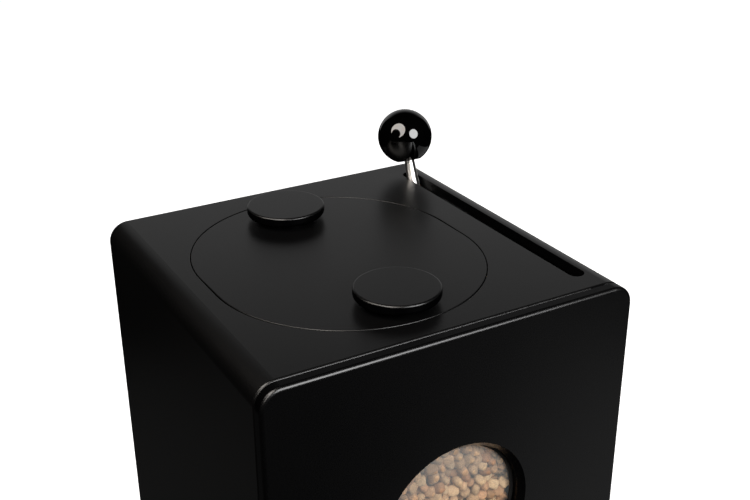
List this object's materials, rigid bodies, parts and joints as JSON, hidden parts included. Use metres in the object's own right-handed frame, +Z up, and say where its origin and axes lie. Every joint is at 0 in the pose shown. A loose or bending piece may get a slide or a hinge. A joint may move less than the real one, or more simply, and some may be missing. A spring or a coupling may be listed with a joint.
{
  "type": "kibble feeder",
  "caption": "Black square feeder: lift-off lid with two disc knobs, ball-topped pull lever in a slot, round sight window, geared two-pocket measuring drum, bowl in a low bay.",
  "frame": {"origin": "middle of the whole object's footprint box on the floor, the overhanging lever ball included; the case's own centre is 3.4 mm to -Y of it", "axes": "+Z up, front panel facing -Y, lever on the +X side"},
  "size_m": [0.34, 0.3489, 0.6949],
  "materials": {
    "case_black": "satin black lacquer",
    "panel_black": "satin black lacquer",
    "lid_black": "satin black lacquer",
    "inner_board": "plain board",
    "gasket_rubber": "matte",
    "foot_rubber": "matte",
    "clear_pane": "clear",
    "steel": "plain zinc",
    "black_screw": "black oxide",
    "hopper_plastic": "black moulded plastic",
    "drum_plastic": "natural food-grade plastic",
    "bush_bronze": "sintered bronze",
    "chrome": "polished",
    "ball_black": "polished black",
    "hub_alloy": "cast and machined",
    "gear_plastic": "natural nylon",
    "bowl_steel": "spun and polished"
  },
  "bodies": {
    "case": {"outer_case": "case_black", "front_panel": "panel_black", "back_panel": "panel_black", "corner_blocks": "inner_board", "front_panel_screws": "steel", "back_panel_screws": "black_screw", "rubber_feet": "foot_rubber", "foot_screws": "black_screw", "window_gasket": "gasket_rubber", "window_pane": "clear_pane", "window_retainer": "hopper_plastic", "window_screws": "steel", "hopper_tank": "hopper_plastic", "hopper_funnel": "hopper_plastic", "funnel_screws": "steel", "lid_seat": "inner_board", "tank_screws": "steel", "drum_housing": "hopper_plastic", "housing_end_left": "hopper_plastic", "housing_end_right": "hopper_plastic", "drum_bushes": "bush_bronze", "tie_rods": "steel", "tie_rod_nuts": "steel", "housing_screws": "steel", "mech_shelf": "inner_board", "shelf_cleats": "inner_board", "shelf_screws": "steel", "outlet_chute": "hopper_plastic", "bay_liner": "hopper_plastic", "liner_screws": "black_screw", "lever_bracket": "steel", "bracket_screws": "steel", "pivot_pin": "steel", "pivot_washers": "steel", "pivot_clip": "steel", "shaft_end_bush": "bush_bronze", "stop_bumpers": "gasket_rubber"},
    "lid": {"lid_plate": "lid_black", "lid_collar": "hopper_plastic", "lid_gasket": "gasket_rubber", "lid_knob_front": "lid_black", "lid_knob_rear": "lid_black", "lid_knob_screws": "steel"},
    "lever": {"lever_ball": "ball_black", "lever_stem": "chrome", "lever_hub": "hub_alloy", "stem_grub_screw": "black_screw", "hub_bushes": "bush_bronze", "sector_gear": "gear_plastic", "sector_screws": "steel"},
    "drum": {"dosing_drum": "drum_plastic", "drum_shaft": "steel", "shaft_clip": "steel", "drive_pinion": "gear_plastic", "pinion_grub_screw": "black_screw"},
    "bowl": {"bowl": "bowl_steel", "bowl_ring": "gasket_rubber"}
  },
  "joints": [
    {"name": "lid_lift", "type": "slide", "parent": "case", "child": "lid", "axis": [0, 0, 1], "range_m": [0, 0.12]},
    {"name": "lever_swing", "type": "hinge", "parent": "case", "child": "lever", "pos_m": [0.1418, 0.0006, 0.2944], "axis": [1, 0, 0], "range_deg": [0, 43]},
    {"name": "drum_spin", "type": "hinge", "parent": "case", "child": "drum", "pos_m": [-0.0167, 0.0006, 0.2144], "axis": [1, 0, 0], "range_deg": [-172, 0]},
    {"name": "bowl_slide", "type": "slide", "parent": "case", "child": "bowl", "axis": [0, -1, 0], "range_m": [0, 0.28]}
  ],
  "couplings": [
    {"joint": "drum_spin", "follows": "lever_swing", "ratio": -4}
  ]
}
